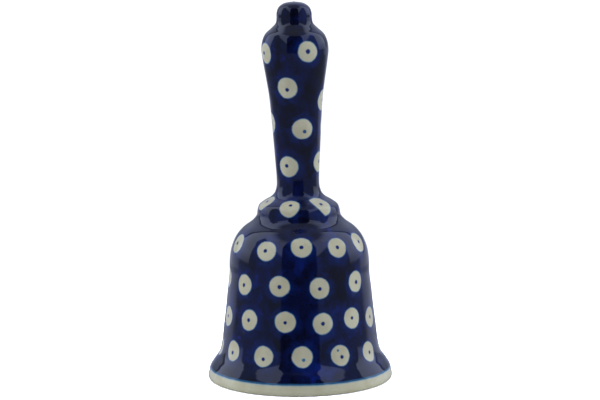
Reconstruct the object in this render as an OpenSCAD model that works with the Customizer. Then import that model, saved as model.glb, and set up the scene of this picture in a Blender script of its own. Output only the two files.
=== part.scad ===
// A table hand bell in glazed stoneware: a slip-cast cup, a slip-cast hollow handle luted onto its
// crown, and a clapper that hangs from a swivelling eye in a plug in the handle's neck.
// The bell stands on its rim at z = 0, and its axis is +Z. Sizes are in millimetres.

/* [Bell cup] */
// Diameter across the rim
rim_d = 86; // [76:0.5:96]
// Height of the cup, from the rim to the seam under the handle
cup_h = 88; // [80:0.5:96]
// Wall thickness of the cup
cup_wall = 4.5; // [3.5:0.1:5]
/* [Handle] */
// Height of the handle, from the seam to the top of the knob
handle_h = 87; // [78:0.5:96]
// Widest diameter of the grip
grip_d = 31; // [28:0.2:34]
// Diameter of the spigot that is luted into the cup's crown
spigot_d = 16; // [15:0.1:17]
// Diameter of the bore through the spigot and the neck
bore_d = 11; // [9:0.1:12]
/* [Plug and swivel] */
// Length of the plug cemented into the bore
plug_h = 10; // [8:0.5:14]
// Outer diameter of the bush in the plug
bush_d = 4; // [3.4:0.1:5]
// Diameter of the bush's flange
bush_flange_d = 7; // [6:0.1:9]
// Diameter of the eye's shank and of the clapper's stem
rod_d = 2; // [1.8:0.1:2.4]
// Diameter of the wire that the eye and the clapper's loop are bent from
wire_d = 1.6; // [1.2:0.1:1.7]
// Diameter of a loop, measured along the middle of its wire
loop_d = 6; // [5.6:0.1:7]
/* [Clapper] */
// Diameter of the clapper's ball
ball_d = 19; // [14:0.5:20]
// Distance from the pivot to the middle of the ball
swing_l = 51; // [44:0.5:54]

/* [Hidden] */
$fn = 96;

// How many straight steps a smooth outline takes between two of its points
CURVE_STEPS = 4;
// Radial gap between a rod that turns and its bush
RUNNING_GAP = 0.05;
// Gap between faces that slide over each other
FACE_GAP = 0.1;
// Gap between the ball's hole and the stem
BALL_HOLE_GAP = 0.1;

// The sizes at which the outlines below are drawn
DRAWN_RIM_R = 43;
DRAWN_CUP_H = 88;
DRAWN_CUP_WALL = 4.5;
DRAWN_GRIP_R = 15.5;
DRAWN_HANDLE_H = 87;

// Outside of the cup, from the foot to the seam, as [radius, height]:
// the upright rim band, the flare, the skirt and waist, the shoulder, and the stepped collar
CUP_OUTSIDE = [
    [41.9, 0], [42.7, 0.4], [43, 1.4], [42.6, 3.6], [42.1, 5.6],
    [40.3, 8.5], [37.8, 12.2], [36.4, 17.5], [35.5, 25], [34.4, 33.5], [33.5, 42],
    [32.6, 49.5], [32.4, 56], [31.5, 61.5], [29.3, 66.7], [26, 70.6], [21.6, 73.9],
    [19.6, 76.4], [19.1, 79], [18.3, 81.2], [15.8, 83.2], [12.7, 85], [11, 86.8], [10.5, 88]
];
// Inside of the cup, from the foot to the hollow of the crown
CUP_INSIDE = [
    [38.9, 0], [38.1, 0.6], [37.6, 2.2], [36.2, 5.6],
    [33.6, 11], [32, 17], [30.8, 25], [29.8, 33.5], [28.7, 42],
    [27.9, 49.5], [27.6, 56], [26.6, 60.5], [24.3, 65], [20.5, 68.8], [16.2, 72],
    [14.6, 75], [13.8, 77.6], [11.6, 79.4], [8, 80]
];
// Outside of the handle above the seam: the neck, the grip and its shoulder, and the knob
HANDLE_OUTSIDE = [
    [10.5, 0], [10, 2], [9.9, 5.5], [10.3, 13], [11, 24], [11.8, 36], [12.5, 44],
    [13.6, 51.5], [15, 60.5], [15.5, 65.2], [15, 69], [13.5, 72.3], [10.6, 75],
    [8.6, 77.2], [8.2, 79.6], [8.1, 81.8], [7.1, 84.4], [4.6, 86.2], [0, 87]
];
// Hollow of the handle above its straight bore
HANDLE_HOLLOW = [
    [5.5, 8], [6, 20], [6.8, 36], [8, 50], [8.6, 60], [7.8, 68], [4.8, 73], [0, 74.6]
];

seam_z = cup_h;
bore_r = bore_d / 2;
spigot_r = spigot_d / 2;
rod_r = rod_d / 2;
wire_r = wire_d / 2;
loop_r = loop_d / 2;
ball_r = ball_d / 2;
bush_r = bush_d / 2;

// The crown, the plug and the bush, from the top down
crown_z = 80 * cup_h / DRAWN_CUP_H;
plug_z = crown_z - 1;
plug_chamfer = 0.6;
bush_flange_t = 0.8;
bush_flange_z = plug_z - bush_flange_t;
bush_top_z = plug_z + plug_h + 0.4;

// The eye: its washer and head above the bush, and its loop below the flange
washer_t = 0.6;
washer_r = 2.8;
head_r = 1.8;
washer_z = bush_top_z + FACE_GAP;
head_z = washer_z + washer_t;
eye_z = bush_flange_z - 0.3 - loop_r - wire_r;
pivot_z = eye_z - loop_r;

// The clapper: its loop rests on the bottom of the eye
clapper_loop_z = pivot_z + 2 * wire_r + RUNNING_GAP - loop_r;
ball_z = pivot_z - swing_l;
ball_flat = 0.3;
ball_foot_z = ball_z - ball_r + ball_flat;
ball_washer_t = 0.6;
ball_washer_r = 2.3;
stem_end_z = ball_foot_z - ball_washer_t;

// The middle one of three points of a smooth curve is passed at an even pace (centripetal spacing)
function pace(a, b) = sqrt(norm(b - a));
function leaving(a, b, c) =
    pace(b, c) * ((b - a) / pace(a, b) - (c - a) / (pace(a, b) + pace(b, c)) + (c - b) / pace(b, c));
function arriving(b, c, d) =
    pace(b, c) * ((c - b) / pace(b, c) - (d - b) / (pace(b, c) + pace(c, d)) + (d - c) / pace(c, d));
function between(b, c, from, to, t) =
    (2 * t ^ 3 - 3 * t ^ 2 + 1) * b + (t ^ 3 - 2 * t ^ 2 + t) * from
    + (3 * t ^ 2 - 2 * t ^ 3) * c + (t ^ 3 - t ^ 2) * to;

// A smooth curve through points, with CURVE_STEPS straight steps between each two
function smooth(points) = [
    for (i = [0 : len(points) - 2])
        let (
            b = points[i],
            c = points[i + 1],
            from = i == 0 ? c - b : leaving(points[i - 1], b, c),
            to = i == len(points) - 2 ? c - b : arriving(b, c, points[i + 2])
        )
        for (k = [0 : CURVE_STEPS - 1]) between(b, c, from, to, k / CURVE_STEPS),
    points[len(points) - 1]
];
function backwards(points) = [for (i = [len(points) - 1 : -1 : 0]) points[i]];

// The outlines at the sizes asked for
cup_scale = [rim_d / 2 / DRAWN_RIM_R, cup_h / DRAWN_CUP_H];
grip_scale = [grip_d / 2 / DRAWN_GRIP_R, handle_h / DRAWN_HANDLE_H];
function scaled(points, size, base_z) = [for (p = points) [p.x * size.x, base_z + p.y * size.y]];
cup_outside = scaled(CUP_OUTSIDE, cup_scale, 0);
cup_inside = [
    for (p = scaled(CUP_INSIDE, cup_scale, 0))
        [max(spigot_r, p.x - (cup_wall - DRAWN_CUP_WALL)), p.y]
];
seam_r = cup_outside[len(cup_outside) - 1].x;
handle_outside = [
    for (i = [0 : len(HANDLE_OUTSIDE) - 1])
        let (p = scaled(HANDLE_OUTSIDE, grip_scale, seam_z)[i]) i == 0 ? [seam_r, seam_z] : p
];
handle_hollow = [
    for (i = [0 : len(HANDLE_HOLLOW) - 1])
        let (p = scaled(HANDLE_HOLLOW, grip_scale, seam_z)[i]) i == 0 ? [bore_r, p.y] : p
];

module turned(outline) {
    rotate_extrude() polygon(outline);
}

// A disc with a round hole, standing on z
module ring(outer_r, inner_r, z, h) {
    translate([0, 0, z])
        difference() {
            cylinder(r = outer_r, h = h);
            translate([0, 0, -1]) cylinder(r = inner_r, h = h + 2);
        }
}

// A closed loop of wire in the XZ plane, centred at height z
module wire_loop(z) {
    translate([0, 0, z])
        rotate([90, 0, 0])
            rotate_extrude() translate([loop_r, 0]) circle(r = wire_r, $fn = 48);
}

// The cup of the bell, with its collar and the socket for the handle's spigot
module bell_cup() {
    color("midnightblue")
        turned(concat(smooth(cup_outside), [[spigot_r, seam_z]], backwards(smooth(cup_inside))));
}

// The hollow handle, with its knob above and its spigot below
module handle() {
    color("navy")
        turned(concat(
            [[spigot_r, crown_z], [spigot_r, seam_z]],
            smooth(handle_outside),
            backwards(smooth(handle_hollow)),
            [[bore_r, crown_z]]
        ));
}

// The plug that is cemented into the handle's bore
module crown_plug() {
    color("burlywood")
        turned([
            [bush_r, plug_z],
            [bore_r, plug_z],
            [bore_r, plug_z + plug_h - plug_chamfer],
            [bore_r - plug_chamfer, plug_z + plug_h],
            [bush_r, plug_z + plug_h]
        ]);
}

// The flanged bush that is pressed into the plug, and that the eye turns in
module swivel_bush() {
    color("goldenrod")
        turned([
            [rod_r + RUNNING_GAP, bush_flange_z],
            [bush_flange_d / 2, bush_flange_z],
            [bush_flange_d / 2, plug_z],
            [bush_r, plug_z],
            [bush_r, bush_top_z],
            [rod_r + RUNNING_GAP, bush_top_z]
        ]);
}

// The washer that carries the eye's head on top of the bush
module hanger_washer() {
    color("gold") ring(washer_r, rod_r, washer_z, washer_t);
}

// A closed eye on a shank, whose upper end is peened over into a head
module hanger_eye() {
    color("goldenrod") {
        rotate([0, 0, 90]) wire_loop(eye_z);
        translate([0, 0, eye_z + loop_r]) cylinder(r = rod_r, h = head_z - eye_z - loop_r);
        peened_head(head_z, 1);
    }
}

// A domed head that stands on z, or hangs from it where up is -1
module peened_head(z, up) {
    translate([0, 0, z])
        scale([1, 1, up])
            intersection() {
                translate([0, 0, -0.4]) sphere(r = head_r);
                cylinder(r = head_r, h = head_r);
            }
}

// The clapper's wire: a closed loop, and a stem through the ball with a peened end
module clapper_wire() {
    color("goldenrod") {
        wire_loop(clapper_loop_z);
        translate([0, 0, stem_end_z])
            cylinder(r = rod_r, h = clapper_loop_z - loop_r - stem_end_z);
        peened_head(stem_end_z, -1);
    }
}

// The clapper's ball, bored through, with a small flat at each end of its hole
module clapper_ball() {
    color("antiquewhite")
        translate([0, 0, ball_z])
            difference() {
                intersection() {
                    sphere(r = ball_r);
                    translate([0, 0, -ball_r + ball_flat])
                        cylinder(r = ball_d, h = 2 * (ball_r - ball_flat));
                }
                translate([0, 0, -ball_d]) cylinder(r = rod_r + BALL_HOLE_GAP, h = 2 * ball_d);
            }
}

// The washer between the ball and the stem's peened end
module clapper_washer() {
    color("gold") ring(ball_washer_r, rod_r, stem_end_z, ball_washer_t);
}

bell_cup();
handle();
crown_plug();
swivel_bush();
hanger_washer();
hanger_eye();
clapper_wire();
clapper_ball();
clapper_washer();
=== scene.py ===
"""The looks of a glazed stoneware hand bell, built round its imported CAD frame.

The cup and the handle are slip-cast shells under a cobalt glaze with stamped cream dots. A beech plug
closes the neck, and a brass eye and a brass clapper with a glazed ball hang inside.

Lengths are in metres, and MM turns millimetres into them. An azimuth is an angle round the bell's axis:
0 is the front (-Y), and it grows towards +X.
"""

import math
import random

import bpy
import numpy as np
from mathutils import Matrix, Vector


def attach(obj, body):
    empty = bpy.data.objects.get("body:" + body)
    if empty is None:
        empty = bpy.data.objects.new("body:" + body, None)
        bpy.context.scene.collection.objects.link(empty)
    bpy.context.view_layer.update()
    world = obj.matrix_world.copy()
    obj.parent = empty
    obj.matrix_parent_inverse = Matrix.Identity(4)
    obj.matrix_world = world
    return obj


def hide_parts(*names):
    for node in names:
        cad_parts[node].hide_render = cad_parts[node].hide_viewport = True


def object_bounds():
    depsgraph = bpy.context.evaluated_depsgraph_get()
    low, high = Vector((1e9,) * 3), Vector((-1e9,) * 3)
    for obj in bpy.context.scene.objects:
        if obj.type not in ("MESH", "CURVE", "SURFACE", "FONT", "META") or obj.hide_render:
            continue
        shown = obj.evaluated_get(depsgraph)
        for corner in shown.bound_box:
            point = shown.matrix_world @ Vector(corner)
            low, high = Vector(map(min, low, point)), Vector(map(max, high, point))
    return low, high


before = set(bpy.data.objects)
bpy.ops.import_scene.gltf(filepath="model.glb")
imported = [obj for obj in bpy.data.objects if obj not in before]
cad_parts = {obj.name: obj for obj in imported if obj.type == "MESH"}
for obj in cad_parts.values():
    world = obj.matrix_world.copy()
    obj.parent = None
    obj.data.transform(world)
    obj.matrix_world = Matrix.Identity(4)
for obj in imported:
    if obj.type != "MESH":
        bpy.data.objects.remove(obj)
cad_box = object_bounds()

MM = 0.001
MIDDLE_Z = cad_box[1].z / 2

# ---------------------------------------------------------------- the hand-made shape

# The handle was luted on slightly askew: above this height the bell leans towards -X
LEAN_FROM_Z = 60 * MM
LEAN_EASE = 20 * MM
LEAN_ANGLE = math.radians(0.8)
# Waves left in the walls by casting and sponging: (height of the wave, turns round, rise per turn, phase)
WALL_WAVES = [
    (0.07 * MM, 2, 190 * MM, 0.9),
    (0.04 * MM, 3, -110 * MM, 2.3),
    (0.025 * MM, 5, 70 * MM, 4.0),
]

# Rings of mesh along a glazed outline and along a hidden one
FINE_STEP = 0.45 * MM
COARSE_STEP = 1.2 * MM
# The same along the plug and the ball
SMALL_STEP = 0.4 * MM
# Segments round each piece
CUP_SEGMENTS = 192
HANDLE_SEGMENTS = 144
PLUG_SEGMENTS = 72
BALL_SEGMENTS = 96
# An outline turns a corner where it bends by more than this
CORNER_ANGLE = math.radians(32)
SEAM_TOLERANCE = 1e-6
# Decimals to which two vertices have to agree to be one point of an outline
PLACE_DIGITS = 7
# How many rings a bend is averaged over on each side, and the radius that a bend is measured beside
POOL_REACH = 3
POOL_RADIUS = 10 * MM

# ---------------------------------------------------------------- the stamped dots

DOT_R = 4.85 * MM
SPOT_R = 0.85 * MM
# The spots' sizes beside a full spot
SPOT_SIZES = (0.9, 1.12)
# How far a dot strays from round, and the least share of that
DOT_SQUASH = 0.035
LEAST_SQUASH = 0.2
# How far dots and spots stray where the front doesn't show them: in degrees, and then in millimetres
DOT_TURN_JITTER = 2.5
DOT_HEIGHT_JITTER = 0.6
SPOT_JITTER = 0.5
# Seeds for the dots that the front doesn't show, and for small differences between all of them
CUP_SEED = 7
HANDLE_SEED = 11
# Stands for a place that is far from every dot, and how far a dot's colours reach, in dot radii
FAR = 9.0
REACH = 2.6

# Rows of dots from the foot up: how many go round, and then those on the front. Each has its azimuth in
# degrees, its height, and its brush spot's offset to the right and up, in millimetres. Where the brush
# touched unlike the rest, the spot's strength follows, and then its size beside the others.
CUP_ROWS = [
    (12, [(-84, 16, 0, -1.4, 0.7), (-57, 16.5, -0.4, -0.9), (-27, 16.5, 0.0, -1.2),
          (1.5, 17, 0.6, -1.4, 0.55), (30, 16.5, 0.7, -0.7), (59, 15.5, 0.5, -0.5)]),
    (13, [(-72, 31, -0.4, 0), (-42, 32, -0.2, 0), (-11, 32.5, 0, -0.2), (17.5, 31.5, 0, 0),
          (43.5, 32.5, 0, 0), (68.5, 30.5, 0, 0)]),
    (11, [(-83, 48, -0.3, 0), (-50, 47.5, -0.4, -0.2), (-16, 48.5, 0, -0.3), (16, 47.5, 0.1, -0.3),
          (51.5, 48.5, 0.4, -0.4), (98, 48, 0, 0)]),
    (11, [(-69, 65, -0.6, 0), (-29, 64, -0.5, 0), (2, 66, 0, 0), (35, 65, 0, 0), (65, 65.5, 0.5, 0)]),
    (6, [(-71, 83, 0.2, 0.8), (-14, 82.2, 0.35, 1.5), (38, 82.6, 0.5, 0.7), (108, 82, 0, 0)]),
]
HANDLE_ROWS = [
    (4, [(-25, 100, -0.7, 0.4), (72, 101.5, 0.3, 0.2)]),
    (4, [(-83, 119.5, 0, 0), (14, 117.5, 0.9, -1.2, 0.8)]),
    (4, [(-17.5, 136.5, 0, -0.9), (77, 130, 0.5, 0)]),
    (4, [(-63, 152, -0.9, 0), (23, 153, -0.2, 0.1, 1, 1.3)]),
]
# A stray second spot, on the dot at that height and azimuth: (offset right, offset up, strength, size)
STRAY_SPOTS = {(16.5, 30): (-1.1, 2.4, 0.6, 0.7)}
# A dot at that height and azimuth whose stamp was cut off: (its size beside the others, the direction of the
# kept side, and how far the cut is from the middle, in radii)
CUT_DOTS = {(82.6, 38): (1.14, (0.93, 0.37), 0.57)}
# A cut is a shallow bow: how fast it falls away from straight
CUT_BOW = 0.28


def section_place(point):
    """A vertex's (radius, height) if it lies on the half section towards +X."""
    if abs(point.y) < SEAM_TOLERANCE and point.x > -SEAM_TOLERANCE:
        return round(point.x, PLACE_DIGITS), round(point.z, PLACE_DIGITS)
    return None


def outline_of(node, start, first):
    """A turned CAD node's outline as [radius, height] points. The walk round its section begins at the point
    where start is least, and goes first to the neighbour for which first is least."""
    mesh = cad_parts[node].data
    places = [section_place(vertex.co) for vertex in mesh.vertices]
    links = {}
    for edge in mesh.edges:
        a, b = (places[i] for i in edge.vertices)
        if a and b and a != b:
            links.setdefault(a, set()).add(b)
            links.setdefault(b, set()).add(a)
    here = min(links, key=start)
    points = [here]
    following = min(links[here], key=first)
    while following is not None:
        points.append(following)
        ahead = [p for p in links[following] if p not in (points[-2], points[0])]
        following = ahead[0] if ahead else None
    if points[0] in links[points[-1]] and len(points) > 2:
        points.append(points[0])
    return np.array(points)


def cut_at_corners(points):
    """The smooth stretches of an outline."""
    legs = np.diff(points, axis=0)
    headings = np.unwrap(np.arctan2(legs[:, 1], legs[:, 0]))
    corners = [i + 1 for i, turn in enumerate(np.diff(headings)) if abs(turn) > CORNER_ANGLE]
    bounds = [0, *corners, len(points) - 1]
    return [points[a : b + 1] for a, b in zip(bounds, bounds[1:])]


def resampled(points, step):
    """Points spaced evenly along a smooth curve through the given ones."""
    chords = np.linalg.norm(np.diff(points, axis=0), axis=1)
    along = np.concatenate([[0], np.cumsum(chords)])
    if len(points) > 2:
        slopes = np.gradient(points, along, axis=0)
    else:
        slopes = np.repeat(np.diff(points, axis=0) / chords, 2, axis=0)
    places = np.linspace(0, along[-1], max(1, round(along[-1] / step)) + 1)
    i = np.clip(np.searchsorted(along, places, side="right") - 1, 0, len(chords) - 1)
    h = chords[i][:, None]
    t = ((places - along[i]) / chords[i])[:, None]
    return (
        (2 * t**3 - 3 * t**2 + 1) * points[i]
        + (t**3 - 2 * t**2 + t) * h * slopes[i]
        + (3 * t**2 - 2 * t**3) * points[i + 1]
        + (t**3 - t**2) * h * slopes[i + 1]
    )


def wall_wave(azimuth, height):
    """How far the wall stands out of round there."""
    return sum(a * np.sin(n * azimuth + height / rise + phase) for a, n, rise, phase in WALL_WAVES)


def lean(height):
    """How far the bell's axis has moved towards -X at that height."""
    above = np.clip(height - LEAN_FROM_Z, 0, None)
    eased = np.where(above < LEAN_EASE, above**2 / (2 * LEAN_EASE), above - LEAN_EASE / 2)
    return math.tan(LEAN_ANGLE) * eased


class Turned:
    """A mesh turned from smooth stretches of outline. Each stretch has its own ring spacing and material. A
    piece made by hand has the waves and the lean too."""

    def __init__(self, name, stretches, segments, by_hand=False):
        self.segments = segments
        self.by_hand = by_hand
        rings, self.stretch_of_ring = [], []
        for number, (points, step, _) in enumerate(stretches):
            fresh = resampled(points, step)
            start = 0 if number == 0 else 1
            rings.extend(fresh[start:])
            self.stretch_of_ring.extend([number] * (len(fresh) - 1))
        self.rings = np.array(rings)
        legs = np.linalg.norm(np.diff(self.rings, axis=0), axis=1)
        self.along = np.concatenate([[0], np.cumsum(legs)])
        self.turns = np.linspace(-math.pi, math.pi, segments + 1)
        self.object = self.build(name, stretches)

    def place(self, radius, height, azimuth):
        """Where the point of a ring at that azimuth lies."""
        shift = 0.0
        if self.by_hand:
            shift = float(lean(height))
            radius += wall_wave(azimuth, height) if radius > 0 else 0
        return (radius * math.sin(azimuth) - shift, -radius * math.cos(azimuth), height)

    def build(self, name, stretches):
        """Makes the object, and remembers each face's stretch, its segment and the rings of its corners."""
        vertices, index = [], []
        for radius, height in self.rings:
            pole = radius < SEAM_TOLERANCE
            first = len(vertices)
            count = 1 if pole else self.segments
            for azimuth in self.turns[:count]:
                vertices.append(self.place(0 if pole else radius, height, azimuth))
            index.append([first + (0 if pole else j % self.segments) for j in range(self.segments + 1)])
        faces, self.corners, self.slots = [], [], []
        for i in range(len(self.rings) - 1):
            for j in range(self.segments):
                grid = [(i, j), (i + 1, j), (i + 1, j + 1), (i, j + 1)]
                numbers = [index[a][b] for a, b in grid]
                # At a pole two corners are one, and the face is a triangle
                kept = [corner for k, corner in enumerate(grid) if numbers[k] != numbers[k - 1]]
                if len(kept) > 2:
                    faces.append([index[a][b] for a, b in kept])
                    self.corners.append((j, [(a, b - j) for a, b in kept]))
                    self.slots.append(self.stretch_of_ring[i])
        mesh = bpy.data.meshes.new(name)
        mesh.from_pydata(vertices, [], faces)
        made = bpy.data.objects.new(name, mesh)
        bpy.context.scene.collection.objects.link(made)
        materials = []
        for _, _, material in stretches:
            if material not in materials:
                materials.append(material)
                mesh.materials.append(material)
        for face, number in zip(mesh.polygons, self.slots):
            face.material_index = materials.index(stretches[number][2])
            face.use_smooth = True
        mesh.set_sharp_from_angle(angle=CORNER_ANGLE)
        mesh.update()
        return made

    def stamp(self, stamps, facing_out):
        """Stores where each face corner of the first stretch lies from the nearest dot and from its spot.

        The attribute "stamp" holds the offset in dot radii and the distance inside a cut. The attribute
        "spot" holds the offset in spot radii and the spot's strength.
        """
        mesh = self.object.data
        stamp = np.full((len(mesh.loops), 3), FAR)
        spot = np.full((len(mesh.loops), 3), FAR)
        azimuths = np.array([s["azimuth"] for s in stamps])
        places = np.array([s["along"] for s in stamps])
        step = 2 * math.pi / self.segments
        for face, (segment, corners), slot in zip(mesh.polygons, self.corners, self.slots):
            if slot != 0:
                continue
            middle_turn = self.turns[segment] + step / 2
            ring = corners[0][0]
            radius = self.rings[ring][0]
            off = (middle_turn - azimuths + math.pi) % (2 * math.pi) - math.pi
            rise = self.along[ring] - places
            nearest = int(np.argmin((off * radius) ** 2 + rise**2))
            if math.hypot(off[nearest] * radius, rise[nearest]) > REACH * DOT_R:
                continue
            chosen = stamps[nearest]
            middle = (off[nearest] * radius, rise[nearest] * facing_out)
            mark = min(chosen["spots"], key=lambda m: math.hypot(middle[0] - m["right"], middle[1] - m["up"]))
            for loop, (a, b) in zip(face.loop_indices, corners):
                right = (off[nearest] + (b - 0.5) * step) * self.rings[a][0]
                up = (self.along[a] - places[nearest]) * facing_out
                stamp[loop] = dot_offset(chosen, right, up)
                spot[loop] = (
                    (right - mark["right"]) / mark["radius"],
                    (up - mark["up"]) / mark["radius"],
                    mark["strength"],
                )
        for name, values in (("stamp", stamp), ("spot", spot)):
            layer = mesh.attributes.new(name, "FLOAT_VECTOR", "CORNER")
            layer.data.foreach_set("vector", values.astype(np.float32).ravel())

    def pool(self):
        """Stores how thick the glaze lies: above 0 where it pools in a hollow, below 0 where it thins."""
        slopes = np.gradient(self.rings, self.along, axis=0)
        bends = np.gradient(slopes, self.along, axis=0)
        curve = slopes[:, 0] * bends[:, 1] - slopes[:, 1] * bends[:, 0]
        width = 2 * POOL_REACH + 1
        soft = np.convolve(np.pad(curve, POOL_REACH, mode="edge"), np.ones(width) / width, mode="valid")
        values = []
        for radius, bend in zip(self.rings[:, 0], soft):
            values.extend([bend] * (1 if radius < SEAM_TOLERANCE else self.segments))
        layer = self.object.data.attributes.new("bend", "FLOAT", "POINT")
        layer.data.foreach_set("value", (np.array(values) * POOL_RADIUS).astype(np.float32))


def dot_offset(dot, right, up):
    """Where a point lies from a dot's middle, in dot radii, and how far inside its cut."""
    long = (right * dot["cos"] + up * dot["sin"]) * (1 + dot["squash"])
    short = (up * dot["cos"] - right * dot["sin"]) * (1 - dot["squash"])
    size = dot["cut"][0] if dot["cut"] else 1
    u = (long * dot["cos"] - short * dot["sin"]) / (DOT_R * size)
    v = (long * dot["sin"] + short * dot["cos"]) / (DOT_R * size)
    if not dot["cut"]:
        return u, v, FAR
    _, (cut_x, cut_y), distance = dot["cut"]
    along_cut = u * cut_y - v * cut_x
    return u, v, u * cut_x + v * cut_y + distance - CUT_BOW * along_cut**2


def mark_at(right, up, strength=1.0, size=1.0):
    """A brush spot on a dot: its offset and size, and how much colour the brush left."""
    return {"right": right * MM, "up": up * MM, "radius": SPOT_R * size, "strength": strength}


def all_stamps(rows, turned, seed):
    """Every dot of a piece: those on the front where they are listed, and the rest spaced round the back."""
    draw = random.Random(seed)
    outside = [k for k, number in enumerate(turned.stretch_of_ring) if number == 0]
    heights = turned.rings[outside[0] : outside[-1] + 2, 1]
    places = turned.along[outside[0] : outside[-1] + 2]
    order = np.argsort(heights)
    stamps = []
    for count, front in rows:
        placed = list(front)
        last, first = front[-1][0], front[0][0] + 360
        mean_height = sum(p[1] for p in front) / len(front)
        missing = count - len(front)
        for k in range(missing):
            placed.append((
                last + (first - last) * (k + 1) / (missing + 1) + draw.uniform(-1, 1) * DOT_TURN_JITTER,
                mean_height + draw.uniform(-1, 1) * DOT_HEIGHT_JITTER,
                draw.uniform(-1, 1) * SPOT_JITTER,
                draw.uniform(-1, 1) * SPOT_JITTER,
            ))
        for azimuth, height, *touch in placed:
            spots = [mark_at(*touch)]
            spots[0]["radius"] *= draw.uniform(*SPOT_SIZES)
            if (height, azimuth) in STRAY_SPOTS:
                spots.append(mark_at(*STRAY_SPOTS[height, azimuth]))
            tilt = draw.uniform(0, math.pi)
            stamps.append({
                "azimuth": math.radians(azimuth),
                "along": float(np.interp(height * MM, heights[order], places[order])),
                "squash": draw.uniform(LEAST_SQUASH, 1) * DOT_SQUASH,
                "cos": math.cos(tilt),
                "sin": math.sin(tilt),
                "spots": spots,
                "cut": CUT_DOTS.get((height, azimuth)),
            })
    return stamps


# ---------------------------------------------------------------- materials


def srgb(red, green, blue):
    """A colour given on the 0 to 255 scale, as a shader wants it."""
    shares = [c / 255 for c in (red, green, blue)]
    linear = [share / 12.92 if share <= 0.04045 else ((share + 0.055) / 1.055) ** 2.4 for share in shares]
    return (*linear, 1.0)


class Graph:
    """A node tree, built step by step. Each method adds a node and gives back its output."""

    def __init__(self, owner, place="Object"):
        owner.use_nodes = True
        self.nodes = owner.node_tree.nodes
        self.links = owner.node_tree.links
        self.place = self.nodes.new("ShaderNodeTexCoord").outputs[place]

    def feed(self, socket, value):
        """Links a socket to an output, or sets it to a constant."""
        if isinstance(value, bpy.types.NodeSocket):
            self.links.new(value, socket)
        else:
            socket.default_value = value

    def math(self, operation, a, b=0.0):
        made = self.nodes.new("ShaderNodeMath")
        made.operation = operation
        self.feed(made.inputs[0], a)
        self.feed(made.inputs[1], b)
        return made.outputs[0]

    def stretched(self, x, y, z):
        """The place, scaled so that a pattern in it is drawn out where the scale is small."""
        made = self.nodes.new("ShaderNodeMapping")
        self.feed(made.inputs["Vector"], self.place)
        made.inputs["Scale"].default_value = (x, y, z)
        return made.outputs[0]

    def noise(self, size, detail=3.0, roughness=0.5, distortion=0.0, place=None):
        """Cloudy noise whose clouds are about that size, in metres."""
        made = self.nodes.new("ShaderNodeTexNoise")
        self.feed(made.inputs["Vector"], place or self.place)
        made.inputs["Scale"].default_value = 1 / size
        made.inputs["Detail"].default_value = detail
        made.inputs["Roughness"].default_value = roughness
        made.inputs["Distortion"].default_value = distortion
        return made.outputs["Fac"]

    def cells(self, size, place):
        """The distance from the middle of the nearest cell, with cells about that size, in metres."""
        made = self.nodes.new("ShaderNodeTexVoronoi")
        self.feed(made.inputs["Vector"], place)
        made.inputs["Scale"].default_value = 1 / size
        return made.outputs["Distance"]

    def step(self, value, low, high):
        """0 below low and 1 above high, with a smooth rise between. It falls where low is above high."""
        made = self.nodes.new("ShaderNodeMapRange")
        made.interpolation_type = "SMOOTHSTEP"
        self.feed(made.inputs["Value"], value)
        made.inputs["From Min"].default_value = min(low, high)
        made.inputs["From Max"].default_value = max(low, high)
        made.inputs["To Min"].default_value = 0.0 if low < high else 1.0
        made.inputs["To Max"].default_value = 1.0 if low < high else 0.0
        return made.outputs["Result"]

    def ramp(self, value, stops):
        """A colour that runs through the stops, each of which is (position, colour)."""
        made = self.nodes.new("ShaderNodeValToRGB")
        made.color_ramp.interpolation = "EASE"
        elements = made.color_ramp.elements
        while len(elements) < len(stops):
            # Any place will do, since the loop below sets it
            elements.new(0.5)
        for element, (position, colour) in zip(elements, stops):
            element.position = position
            element.color = colour
        self.feed(made.inputs["Fac"], value)
        return made.outputs["Color"]

    def mix(self, amount, a, b, blend="MIX"):
        """Colour a where amount is 0, and b where it is 1."""
        made = self.nodes.new("ShaderNodeMix")
        made.data_type = "RGBA"
        made.blend_type = blend
        # The node has a set of sockets for each data type, and these are the colour's
        self.feed(made.inputs[0], amount)
        self.feed(made.inputs[6], a)
        self.feed(made.inputs[7], b)
        return made.outputs[2]

    def attribute(self, name, output="Vector"):
        made = self.nodes.new("ShaderNodeAttribute")
        made.attribute_name = name
        return made.outputs[output]

    def parts(self, vector):
        made = self.nodes.new("ShaderNodeSeparateXYZ")
        self.feed(made.inputs[0], vector)
        return made.outputs

    def far(self, x, y):
        """The length of (x, y)."""
        return self.math("SQRT", self.math("ADD", self.math("MULTIPLY", x, x), self.math("MULTIPLY", y, y)))

    def bump(self, height, distance, under=None):
        made = self.nodes.new("ShaderNodeBump")
        made.inputs["Distance"].default_value = distance
        self.feed(made.inputs["Height"], height)
        if under:
            self.feed(made.inputs["Normal"], under)
        return made.outputs["Normal"]

    def product(self, first, *rest):
        for factor in rest:
            first = self.math("MULTIPLY", first, factor)
        return first


class Surface(Graph):
    """A material with one Principled shader."""

    def __init__(self, name):
        self.material = bpy.data.materials.new(name)
        super().__init__(self.material)
        self.shader = self.nodes["Principled BSDF"]

    def finish(self, colour, roughness, normal, metallic=0.0):
        self.feed(self.shader.inputs["Base Color"], colour)
        self.feed(self.shader.inputs["Roughness"], roughness)
        self.feed(self.shader.inputs["Normal"], normal)
        self.shader.inputs["Metallic"].default_value = metallic
        self.shader.inputs["IOR"].default_value = IOR
        return self.material


IOR = 1.5
CREAM = srgb(207, 204, 172)
CREAM_WARM = srgb(196, 190, 156)
CREAM_SPECK = srgb(138, 126, 100)
BLACK_BLUE = srgb(8, 9, 25)
NAVY = srgb(11, 17, 50)
COBALT = srgb(16, 32, 100)
HALO = srgb(11, 31, 88)
BLEED = srgb(76, 116, 154)
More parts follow.
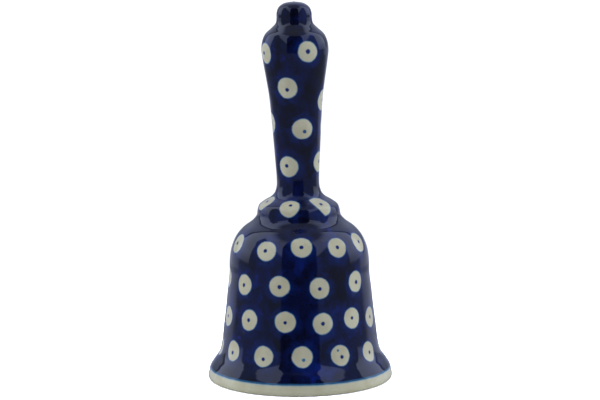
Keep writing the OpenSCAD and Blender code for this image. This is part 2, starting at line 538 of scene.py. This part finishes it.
# The dots beside the cream of the rim
DOT_SHADE = (0.9, 0.9, 0.9, 1)
INK = srgb(22, 44, 104)
FAINT_INK = srgb(66, 118, 150)
RIM_LINE = srgb(44, 92, 128)
RIM_TINT = srgb(158, 180, 182)
# Where the blue glaze stops above the foot, and how much its edge wanders
BAND_Z = 5.4 * MM
BAND_WANDER = 0.5 * MM
# In millimetres over that edge: where the cream takes on a tint, where the thin line begins, where it ends
TINT_RISE = (-1.0, -0.4)
LINE_RISE = (-0.5, -0.1)
BLUE_RISE = (0.15, 0.7)
# In dot radii from a dot's middle: where the blue bleeds into the cream, where the blue begins, and where
# its halo fades
BLEED_RISE = (0.90, 1.00)
DOT_RISE = (0.96, 1.08)
HALO_FALL = (1.95, 1.05)
# In spot radii from a spot's middle: where its ink fades
SPOT_FALL = (1.3, 0.7)
# How far a dot's edge wanders and how ragged it is, in dot radii
EDGE_WANDER = 0.16
EDGE_RAGGED = 0.05
# The bends between which pooled glaze turns dark
POOL_RISE = (1.0, 2.6)


def cream_colour(graph):
    """Clear glaze over a pale body: faint clouds, and a few iron specks."""
    clouds = graph.noise(9 * MM, detail=4)
    grain = graph.noise(0.7 * MM, detail=2)
    specks = graph.step(graph.noise(0.9 * MM, detail=1, roughness=0.3), 0.76, 0.82)
    base = graph.mix(graph.step(clouds, 0.35, 0.7), CREAM, CREAM_WARM)
    grained = graph.mix(graph.step(grain, 0.5, 0.85), base, CREAM_WARM)
    return graph.mix(graph.math("MULTIPLY", specks, 0.5), grained, CREAM_SPECK)


def blue_colour(graph, away):
    """Cobalt that broke dark and light in the kiln, with a brighter halo round each dot."""
    clouds = graph.noise(14 * MM, detail=2, distortion=0.5)
    breaks = graph.noise(5 * MM, detail=3, roughness=0.5, distortion=0.9)
    streaks = graph.noise(2.6 * MM, detail=2, place=graph.stretched(1, 1, 0.2))
    tone = graph.math("ADD", graph.math("MULTIPLY", clouds, 0.5), graph.math("MULTIPLY", breaks, 0.3))
    tone = graph.math("ADD", tone, graph.math("MULTIPLY", streaks, 0.2))
    base = graph.ramp(tone, [(0.40, BLACK_BLUE), (0.54, NAVY), (0.68, COBALT)])
    halo = graph.math("MULTIPLY", graph.step(away, *HALO_FALL), graph.step(breaks, 0.2, 0.7))
    haloed = graph.mix(graph.math("MULTIPLY", halo, 0.85), base, HALO)
    pooled = graph.step(graph.attribute("bend", "Fac"), *POOL_RISE)
    return graph.mix(graph.math("MULTIPLY", pooled, 0.5), haloed, BLACK_BLUE)


def dotted_blue(graph, cream, wander, ragged):
    """The blue glaze with its cream dots and their brush spots."""
    dot_x, dot_y, cut = graph.parts(graph.attribute("stamp"))
    spot_x, spot_y, strength = graph.parts(graph.attribute("spot"))
    away = graph.far(dot_x, dot_y)
    edge = graph.math(
        "ADD",
        graph.math("MULTIPLY", wander, EDGE_WANDER),
        graph.math("MULTIPLY", ragged, EDGE_RAGGED),
    )
    shaped = graph.math("ADD", away, edge)
    # Past a cut counts as outside the dot
    past_cut = graph.math("SUBTRACT", 1.0, cut)
    shaped = graph.math("MAXIMUM", shaped, graph.math("ADD", past_cut, graph.math("MULTIPLY", edge, 0.5)))

    dot_cream = graph.mix(1.0, cream, DOT_SHADE, blend="MULTIPLY")
    bleeding = graph.mix(graph.step(shaped, *BLEED_RISE), dot_cream, BLEED)
    dotted = graph.mix(graph.step(shaped, *DOT_RISE), bleeding, blue_colour(graph, away))
    spot_away = graph.math("ADD", graph.far(spot_x, spot_y), graph.math("MULTIPLY", ragged, 0.5))
    ink = graph.mix(graph.step(strength, 0.5, 1.0), FAINT_INK, INK)
    return graph.mix(graph.step(spot_away, *SPOT_FALL), dotted, ink)


def cobalt_glaze():
    """Stamped cobalt glaze that stops above the foot in a thin blue line, with cream glaze below."""
    graph = Surface("cobalt_glaze_stamped")
    wander = graph.math("SUBTRACT", graph.noise(4.5 * MM, detail=2), 0.5)
    ragged = graph.math("SUBTRACT", graph.noise(0.9 * MM, detail=2), 0.5)
    cream = cream_colour(graph)
    blue = dotted_blue(graph, cream, wander, ragged)

    height = graph.parts(graph.place)[2]
    over_band = graph.math("SUBTRACT", height, BAND_Z)
    over_band = graph.math("ADD", over_band, graph.math("MULTIPLY", wander, BAND_WANDER))
    over_band = graph.math("DIVIDE", over_band, MM)
    tinted = graph.mix(graph.step(over_band, *TINT_RISE), cream, RIM_TINT)
    lined = graph.mix(graph.step(over_band, *LINE_RISE), tinted, RIM_LINE)
    banded = graph.mix(graph.step(over_band, *BLUE_RISE), lined, blue)

    roughness = graph.math("ADD", graph.math("MULTIPLY", graph.noise(6 * MM, detail=4), 0.05), 0.02)
    ripple = graph.bump(graph.noise(11 * MM, detail=1.5), 0.12 * MM)
    glazed = graph.bump(graph.noise(1.6 * MM, detail=2), 0.004 * MM, under=ripple)
    return graph.finish(banded, roughness, glazed)


def clear_glaze():
    """The cream glaze inside the cup and on the ball."""
    graph = Surface("clear_glaze_cream")
    roughness = graph.math("ADD", graph.math("MULTIPLY", graph.noise(7 * MM), 0.1), 0.06)
    ripple = graph.bump(graph.noise(8 * MM, detail=2), 0.1 * MM)
    return graph.finish(cream_colour(graph), roughness, ripple)


def bare_clay():
    """Fired stoneware without glaze."""
    graph = Surface("bare_stoneware")
    grain = graph.noise(0.5 * MM, detail=6, roughness=0.7)
    stops = [(0.3, srgb(150, 136, 112)), (0.55, srgb(196, 184, 160)), (0.8, srgb(214, 205, 186))]
    colour = graph.ramp(grain, stops)
    return graph.finish(colour, 0.85, graph.bump(grain, 0.06 * MM))


def beech():
    """Turned beech: pale wood with fibres and short dark pores."""
    graph = Surface("beech_plug_wood")
    rings = graph.cells(2.4 * MM, graph.stretched(1, 0.35, 0.12))
    fibres = graph.noise(0.35 * MM, detail=6, roughness=0.65, place=graph.stretched(1, 1, 0.1))
    pores = graph.step(graph.noise(0.22 * MM, detail=1, place=graph.stretched(1, 1, 0.05)), 0.66, 0.75)
    stops = [(0.1, srgb(201, 160, 112)), (0.5, srgb(214, 178, 132)), (0.9, srgb(186, 142, 96))]
    wood = graph.ramp(rings, stops)
    fibred = graph.mix(graph.step(fibres, 0.4, 0.7), wood, srgb(178, 136, 92))
    flecked = graph.mix(graph.math("MULTIPLY", pores, 0.7), fibred, srgb(120, 84, 52))
    return graph.finish(flecked, 0.6, graph.bump(fibres, 0.05 * MM))


def brass():
    """Drawn brass, tarnished in places and marked along its length."""
    graph = Surface("drawn_brass")
    tarnish = graph.noise(2.4 * MM, detail=6, roughness=0.6)
    marks = graph.noise(0.4 * MM, detail=4, place=graph.stretched(1, 1, 0.08))
    stops = [(0.3, srgb(214, 178, 96)), (0.55, srgb(196, 156, 78)), (0.75, srgb(138, 100, 52))]
    tarnished = graph.ramp(tarnish, stops)
    colour = graph.mix(graph.step(marks, 0.5, 0.8), tarnished, srgb(232, 202, 130))
    roughness = graph.math("ADD", graph.math("MULTIPLY", tarnish, 0.35), 0.12)
    return graph.finish(colour, roughness, graph.bump(marks, 0.02 * MM), metallic=1.0)


# ---------------------------------------------------------------- the pieces

COBALT_GLAZE = cobalt_glaze()
CLEAR_GLAZE = clear_glaze()
BARE_CLAY = bare_clay()
BEECH = beech()
BRASS = brass()


def glazed_cup():
    """The cup: blue and dotted outside, clear-glazed inside, bare on the foot that it stands on."""
    points = outline_of("bell_cup", start=lambda p: (p[1], -p[0]), first=lambda p: -p[1])
    outside, shelf, socket, inside, foot = cut_at_corners(points)
    cup = Turned(
        "glazed_cup",
        [
            (outside, FINE_STEP, COBALT_GLAZE),
            (shelf, COARSE_STEP, BARE_CLAY),
            (socket, COARSE_STEP, BARE_CLAY),
            (inside, COARSE_STEP, CLEAR_GLAZE),
            (foot, COARSE_STEP, BARE_CLAY),
        ],
        CUP_SEGMENTS,
        by_hand=True,
    )
    cup.stamp(all_stamps(CUP_ROWS, cup, CUP_SEED), facing_out=1)
    cup.pool()
    return cup.object


def glazed_handle():
    """The handle, whose glaze runs on from the cup's."""
    points = outline_of("handle", start=lambda p: -p[1], first=lambda p: -p[0])
    outside, *rest = cut_at_corners(points)
    handle = Turned(
        "glazed_handle",
        [(outside, FINE_STEP, COBALT_GLAZE)] + [(stretch, COARSE_STEP, BARE_CLAY) for stretch in rest],
        HANDLE_SEGMENTS,
        by_hand=True,
    )
    handle.stamp(all_stamps(HANDLE_ROWS, handle, HANDLE_SEED), facing_out=-1)
    handle.pool()
    return handle.object


def turned_from(node, name, material, segments):
    """A small part remade from its CAD outline."""
    points = outline_of(node, start=lambda p: (p[1], -p[0]), first=lambda p: -p[1])
    stretches = [(stretch, SMALL_STEP, material) for stretch in cut_at_corners(points)]
    return Turned(name, stretches, segments).object


cup = glazed_cup()
handle = glazed_handle()
plug = turned_from("crown_plug", "beech_plug", BEECH, PLUG_SEGMENTS)
ball = turned_from("clapper_ball", "glazed_ball", CLEAR_GLAZE, BALL_SEGMENTS)
# (the piece, the body that carries it, the CAD node that it replaces, its material slot)
PIECES = [
    (cup, "bell", "bell_cup", "cobalt_glaze"),
    (handle, "bell", "handle", "cobalt_glaze"),
    (plug, "bell", "crown_plug", "beech"),
    (ball, "clapper", "clapper_ball", "cream_glaze"),
]
for piece, body, node, slot in PIECES:
    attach(piece, body)
    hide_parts(node)

# The brass pieces keep their CAD shape
for node in ("swivel_bush", "hanger_washer", "hanger_eye", "clapper_wire", "clapper_washer"):
    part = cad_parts[node]
    part.data.materials.clear()
    part.data.materials.append(BRASS)

# ---------------------------------------------------------------- the studio

CAMERA_ASIDE = 0.57 * MM
CAMERA_BACK = 1.0
CAMERA_HEIGHT = 0.229
CAMERA_PITCH = math.radians(8.293)
CAMERA_ROLL = math.radians(-0.5)
CAMERA_LENS = 130.95
CAMERA_SENSOR = 36
# Square panels: how far from the bell's middle, and how wide
PANEL_DISTANCE = 0.9
PANEL_SIZE = 0.85
# (name, azimuth and elevation in degrees, radiance)
PANELS = [
    ("panel_left", -84, 25, 1.55),
    ("panel_right", 84, 25, 1.55),
    ("panel_above", 0, 75, 0.75),
]
FLOOR_R = 2.5
FLOOR_DROP = 0.05 * MM
FLOOR_RINGS = 24
FLOOR_SEGMENTS = 64
# The floor's two greys as the bell is lit by it, and as the camera sees it
PALE_GREYS = ((0.82, 0.82, 0.82, 1), (0.85, 0.85, 0.84, 1))
BRIGHT_GREYS = ((2.4, 2.4, 2.4, 1), (2.5, 2.5, 2.5, 1))
# Between these distances from the axis the floor turns to the white of the backdrop
FLOOR_FADE = (0.07, 0.35)
WHITE = 1.1


def make_camera():
    """Looks at the front of the bell from a little above it."""
    data = bpy.data.cameras.new("camera")
    data.lens = CAMERA_LENS
    data.sensor_width = CAMERA_SENSOR
    camera = bpy.data.objects.new("camera", data)
    bpy.context.scene.collection.objects.link(camera)
    camera.matrix_world = (
        Matrix.Translation((CAMERA_ASIDE, -CAMERA_BACK, CAMERA_HEIGHT))
        @ Matrix.Rotation(math.pi / 2 - CAMERA_PITCH, 4, "X")
        @ Matrix.Rotation(CAMERA_ROLL, 4, "Z")
    )
    bpy.context.scene.camera = camera


def make_panel(name, azimuth, elevation, radiance):
    """A soft panel that faces the bell's middle from that direction. Camera and gloss don't see it."""
    data = bpy.data.lights.new(name, "AREA")
    data.shape = "SQUARE"
    data.size = PANEL_SIZE
    data.energy = radiance * math.pi * PANEL_SIZE**2
    light = bpy.data.objects.new(name, data)
    turn, tilt = math.radians(azimuth), math.radians(elevation)
    away = Vector((math.sin(turn) * math.cos(tilt), -math.cos(turn) * math.cos(tilt), math.sin(tilt)))
    light.location = Vector((0, 0, MIDDLE_Z)) + away * PANEL_DISTANCE
    light.rotation_euler = away.to_track_quat("Z", "Y").to_euler()
    light.visible_camera = False
    light.visible_glossy = False
    bpy.context.scene.collection.objects.link(light)


def make_floor():
    """A pale floor that is lit to white, and that keeps only the shadow close to the bell."""
    vertices = [(0, 0, -FLOOR_DROP)]
    for i in range(1, FLOOR_RINGS + 1):
        radius = FLOOR_R * (i / FLOOR_RINGS) ** 2
        for j in range(FLOOR_SEGMENTS):
            turn = 2 * math.pi * j / FLOOR_SEGMENTS
            vertices.append((radius * math.cos(turn), radius * math.sin(turn), -FLOOR_DROP))
    faces = []
    for j in range(FLOOR_SEGMENTS):
        following = (j + 1) % FLOOR_SEGMENTS
        faces.append((0, 1 + j, 1 + following))
        for i in range(FLOOR_RINGS - 1):
            inner = 1 + i * FLOOR_SEGMENTS
            outer = inner + FLOOR_SEGMENTS
            faces.append((inner + j, outer + j, outer + following, inner + following))
    mesh = bpy.data.meshes.new("floor")
    mesh.from_pydata(vertices, [], faces)
    floor = bpy.data.objects.new("floor", mesh)
    bpy.context.scene.collection.objects.link(floor)
    floor.data.materials.append(floor_material())
    floor.visible_glossy = False


def floor_material():
    """Pale cloth that the camera sees lit to white, and further out as the white backdrop itself."""
    graph = Surface("studio_floor")
    nodes = graph.nodes
    seen = nodes.new("ShaderNodeLightPath").outputs["Is Camera Ray"]
    grain = graph.noise(4 * MM, detail=4)
    pale = graph.mix(grain, *PALE_GREYS)
    bright = graph.mix(grain, *BRIGHT_GREYS)
    cloth = nodes.new("ShaderNodeBsdfDiffuse")
    graph.feed(cloth.inputs["Color"], graph.mix(seen, pale, bright))
    glow = nodes.new("ShaderNodeEmission")
    glow.inputs["Strength"].default_value = WHITE
    x, y, _ = graph.parts(graph.place)
    distant = graph.step(graph.far(x, y), *FLOOR_FADE)
    shown = nodes.new("ShaderNodeMixShader")
    graph.feed(shown.inputs[0], graph.math("MULTIPLY", seen, distant))
    graph.feed(shown.inputs[1], cloth.outputs[0])
    graph.feed(shown.inputs[2], glow.outputs[0])
    graph.feed(nodes["Material Output"].inputs["Surface"], shown.outputs[0])
    return graph.material


# The studio that the glaze mirrors is alike on both sides. From the front round to the back it has a dark
# opening, a dark window with a lit blind in it, a bright side wall, a crease in the corner, and a dimmer back
# wall. A turn in it is an azimuth without its side, and a height is a share of the distance from the axis.
OPENING_TURN = math.radians(29)
WINDOW_TURN = math.radians(93)
CORNER_TURN = math.radians(136)
CREASE_TURN = math.radians(3.5)
WINDOW_TOP = 1.28
# The opening and the window are wider further up: by how much, and between which heights they widen
OPENING_WIDENS = math.radians(6)
OPENING_WIDENING = (0.2, 1.0)
WINDOW_WIDENS = math.radians(8)
WINDOW_WIDENING = (0.5, 0.85)
# The blind narrows to a point at the back: its turn, its height, and how fast its edges part from there
BLIND_POINT = math.radians(80)
BLIND_POINT_HEIGHT = 1.09
BLIND_FALL = 0.76
BLIND_RISE = 2.2
# How far the softness of an upright edge reaches to each side, and of a level one
EDGE_TURN = math.radians(1.3)
EDGE_RISE = 0.06
# Between these heights the side wall and the back wall brighten, the ceiling sets in, and the ground gives
# way to the walls
WALL_RISE = (-0.02, 0.3)
BACK_RISE = (0.05, 0.4)
CEILING_RISE = (1.5, 2.6)
HORIZON_RISE = (-0.045, 0.01)
# In front the dark opening reaches this much further down than the horizon
OPENING_DROP = 0.175
# Straight up and down, a height is a share of this instead of the distance from the axis, which is 0
LEAST_DISTANCE = 0.001
# A paler skirting lies on the ground behind these turns and above these heights
SKIRTING_TURNS = (math.radians(115), math.radians(126))
SKIRTING_RISE = (-0.2, -0.14)

WALL_LIGHT = (1.12, 1.26, 1.7, 1)
WALL_FOOT_LIGHT = (0.6, 0.68, 0.98, 1)
BLIND_LIGHT = (0.84, 0.96, 1.35, 1)
WINDOW_LIGHT = (0.17, 0.21, 0.31, 1)
BACK_LIGHT = (0.52, 0.58, 0.8, 1)
BACK_FOOT_LIGHT = (0.27, 0.31, 0.42, 1)
CREASE_LIGHT = (0.15, 0.17, 0.24, 1)
CEILING_LIGHT = (0.27, 0.3, 0.4, 1)
SKIRTING_LIGHT = (0.46, 0.5, 0.68, 1)
FLOOR_LIGHT = (0.18, 0.2, 0.26, 1)
DARK = (0.012, 0.012, 0.016, 1)
BACKDROP = (WHITE, WHITE, WHITE, 1)


def windowed_wall(graph, turn, height):
    """The side wall, with its window and the blind in that."""
    wall = graph.mix(graph.step(height, *WALL_RISE), WALL_FOOT_LIGHT, WALL_LIGHT)
    widening = graph.math("MULTIPLY", graph.step(height, *WINDOW_WIDENING), WINDOW_WIDENS)
    past_edge = graph.math("SUBTRACT", turn, widening)
    in_window = graph.product(
        graph.step(past_edge, WINDOW_TURN + EDGE_TURN, WINDOW_TURN - EDGE_TURN),
        graph.step(height, WINDOW_TOP + EDGE_RISE, WINDOW_TOP - EDGE_RISE),
    )
    before_point = graph.math("SUBTRACT", BLIND_POINT, turn)
    over_point = graph.math("SUBTRACT", height, BLIND_POINT_HEIGHT)
    over_foot = graph.math("ADD", over_point, graph.math("MULTIPLY", before_point, BLIND_FALL))
    under_top = graph.math("SUBTRACT", graph.math("MULTIPLY", before_point, BLIND_RISE), over_point)
    on_blind = graph.product(
        graph.step(over_foot, -EDGE_RISE, EDGE_RISE),
        graph.step(under_top, -EDGE_RISE, EDGE_RISE),
    )
    return graph.mix(on_blind, graph.mix(in_window, wall, WINDOW_LIGHT), BLIND_LIGHT)


def room(graph, turn, height):
    """The whole studio as light: the walls all round, the ceiling over them and the ground below."""
    widening = graph.math("MULTIPLY", graph.step(height, *OPENING_WIDENING), OPENING_WIDENS)
    past_edge = graph.math("SUBTRACT", turn, widening)
    beside = graph.step(past_edge, OPENING_TURN - EDGE_TURN, OPENING_TURN + EDGE_TURN)
    side = graph.mix(beside, DARK, windowed_wall(graph, turn, height))
    back = graph.mix(graph.step(height, *BACK_RISE), BACK_FOOT_LIGHT, BACK_LIGHT)
    walls = graph.mix(graph.step(turn, CORNER_TURN - EDGE_TURN, CORNER_TURN + EDGE_TURN), side, back)
    from_corner = graph.math("ABSOLUTE", graph.math("SUBTRACT", turn, CORNER_TURN))
    creased = graph.mix(graph.step(from_corner, CREASE_TURN, CREASE_TURN / 3), walls, CREASE_LIGHT)
    roofed = graph.mix(graph.step(height, *CEILING_RISE), creased, CEILING_LIGHT)

    on_skirting = graph.product(graph.step(turn, *SKIRTING_TURNS), graph.step(height, *SKIRTING_RISE))
    ground = graph.mix(on_skirting, FLOOR_LIGHT, SKIRTING_LIGHT)
    sunk = graph.math("MULTIPLY", graph.math("SUBTRACT", 1.0, beside), OPENING_DROP)
    over_ground = graph.step(graph.math("ADD", height, sunk), *HORIZON_RISE)
    return graph.mix(over_ground, ground, roofed)


def make_world():
    """White to the camera. To everything else it is the studio."""
    world = bpy.data.worlds.new("studio")
    bpy.context.scene.world = world
    graph = Graph(world, place="Generated")
    x, y, z = graph.parts(graph.place)
    turn = graph.math("ARCTAN2", graph.math("ABSOLUTE", x), graph.math("MULTIPLY", y, -1.0))
    height = graph.math("DIVIDE", z, graph.math("MAXIMUM", graph.far(x, y), LEAST_DISTANCE))
    seen = graph.nodes.new("ShaderNodeLightPath").outputs["Is Camera Ray"]
    shown = graph.mix(seen, room(graph, turn, height), BACKDROP)
    graph.feed(graph.nodes["Background"].inputs["Color"], shown)


make_camera()
make_floor()
make_world()
for panel in PANELS:
    make_panel(*panel)
bpy.context.scene.view_settings.view_transform = "Standard"
